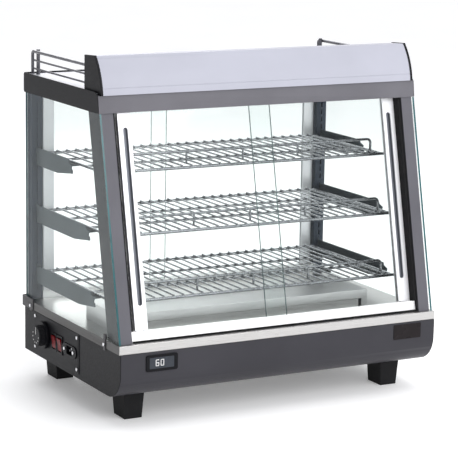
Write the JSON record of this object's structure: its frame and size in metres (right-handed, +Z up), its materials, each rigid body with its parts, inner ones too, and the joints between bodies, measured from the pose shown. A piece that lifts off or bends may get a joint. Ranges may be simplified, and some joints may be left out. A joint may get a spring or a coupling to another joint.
{
  "type": "heated food display case",
  "caption": "Counter-top heated display case with slanted sliding glass front doors, rear sliding doors, wire shelves, curved canopy and plate rails.",
  "frame": {"origin": "middle of the overall footprint, on the counter surface under the feet", "axes": "+X to the right as the customer sees it, +Y from the customer's front to the operator's rear, +Z up"},
  "size_m": [0.7002, 0.4474, 0.667],
  "materials": {
    "painted_dark": "satin powder coat, near black",
    "painted_grey": "satin powder coat, purple grey",
    "silver_panel": "satin silver coating",
    "stainless": "brushed",
    "post_steel": "satin blue-grey coating",
    "stile_aluminium": "satin anodised",
    "clear_glass": "clear with green edges",
    "rubber_black": "matt",
    "black_plastic": "fine grain",
    "red_plastic": "glossy",
    "bright_wire": "bright zinc plating",
    "zinc_screw": "bright",
    "element_sheath": "heat darkened",
    "cream_plastic": "matt",
    "lamp_white": "opal",
    "display_dark": "tinted window",
    "badge_face": "plain dark plate",
    "circuit_green": "solder mask"
  },
  "bodies": {
    "case": {"base_front_panel": "painted_dark", "base_left_panel": "painted_dark", "base_right_panel": "painted_dark", "base_rear_panel": "painted_dark", "base_bottom_plate": "painted_dark", "feet": "rubber_black", "foot_screws": "zinc_screw", "deck_pan": "stainless", "heater_cover": "stainless", "heating_element": "element_sheath", "element_clamps": "stainless", "terminal_block": "cream_plastic", "control_plate": "painted_dark", "panel_screws": "zinc_screw", "thermostat_body": "stainless", "heat_switch_housing": "black_plastic", "light_switch_housing": "black_plastic", "power_inlet": "black_plastic", "inlet_pins": "zinc_screw", "display_bezel": "black_plastic", "display_window": "display_dark", "display_module": "circuit_green", "badge_plate": "badge_face", "front_posts": "painted_grey", "rear_posts": "post_steel", "shelf_brackets": "post_steel", "front_gaskets": "rubber_black", "front_lower_track": "stile_aluminium", "front_upper_track": "stile_aluminium", "rear_lower_track": "stile_aluminium", "rear_upper_track": "stile_aluminium", "fascia_front": "painted_grey", "fascia_left": "painted_dark", "fascia_right": "painted_dark", "fascia_rear": "painted_dark", "top_panel": "stainless", "ceiling_panel": "stainless", "canopy_panel": "silver_panel", "canopy_caps": "painted_dark", "lamp_tube": "lamp_white", "lamp_holders": "cream_plastic", "galleries": "bright_wire", "side_glass_left": "clear_glass", "side_glass_right": "clear_glass", "glass_clips": "painted_dark"},
    "front_door_left": {"front_door_left_pane": "clear_glass", "front_door_left_stile": "stile_aluminium"},
    "front_door_right": {"front_door_right_pane": "clear_glass", "front_door_right_stile": "stile_aluminium"},
    "rear_door_left": {"rear_door_left_pane": "clear_glass", "rear_door_left_stile": "stile_aluminium"},
    "rear_door_right": {"rear_door_right_pane": "clear_glass", "rear_door_right_stile": "stile_aluminium"},
    "thermostat_dial": {"thermostat_knob": "black_plastic"},
    "heat_rocker": {"heat_switch_rocker": "red_plastic"},
    "light_rocker": {"light_switch_rocker": "red_plastic"},
    "lower_shelf": {"bottom_shelf": "bright_wire"},
    "mid_shelf": {"middle_shelf": "bright_wire"},
    "upper_shelf": {"top_shelf": "bright_wire"},
    "humidity_tray": {"water_tray": "stainless"}
  },
  "joints": [
    {"name": "front_door_left_slide", "type": "slide", "parent": "case", "child": "front_door_left", "axis": [1, 0, 0], "range_m": [-0.0055, 0.278]},
    {"name": "front_door_right_slide", "type": "slide", "parent": "case", "child": "front_door_right", "axis": [1, 0, 0], "range_m": [-0.28, 0]},
    {"name": "rear_door_left_slide", "type": "slide", "parent": "case", "child": "rear_door_left", "axis": [1, 0, 0], "range_m": [0, 0.34]},
    {"name": "rear_door_right_slide", "type": "slide", "parent": "case", "child": "rear_door_right", "axis": [1, 0, 0], "range_m": [-0.235, 0]},
    {"name": "thermostat_turn", "type": "hinge", "parent": "case", "child": "thermostat_dial", "pos_m": [-0.33105, 0.1177, 0.103], "axis": [1, 0, 0], "range_deg": [0, 270]},
    {"name": "heat_switch_rock", "type": "hinge", "parent": "case", "child": "heat_rocker", "pos_m": [-0.32805, 0.0697, 0.1005], "axis": [0, 1, 0], "range_deg": [0, 14]},
    {"name": "light_switch_rock", "type": "hinge", "parent": "case", "child": "light_rocker", "pos_m": [-0.32805, 0.0427, 0.1005], "axis": [0, 1, 0], "range_deg": [0, 14]},
    {"name": "lower_shelf_lift", "type": "slide", "parent": "case", "child": "lower_shelf", "axis": [0, 0, 1], "range_m": [0, 0.015]},
    {"name": "mid_shelf_lift", "type": "slide", "parent": "case", "child": "mid_shelf", "axis": [0, 0, 1], "range_m": [0, 0.015]},
    {"name": "upper_shelf_lift", "type": "slide", "parent": "case", "child": "upper_shelf", "axis": [0, 0, 1], "range_m": [0, 0.015]},
    {"name": "humidity_tray_slide", "type": "slide", "parent": "case", "child": "humidity_tray", "axis": [0, 1, 0], "range_m": [0, 0.15]}
  ]
}
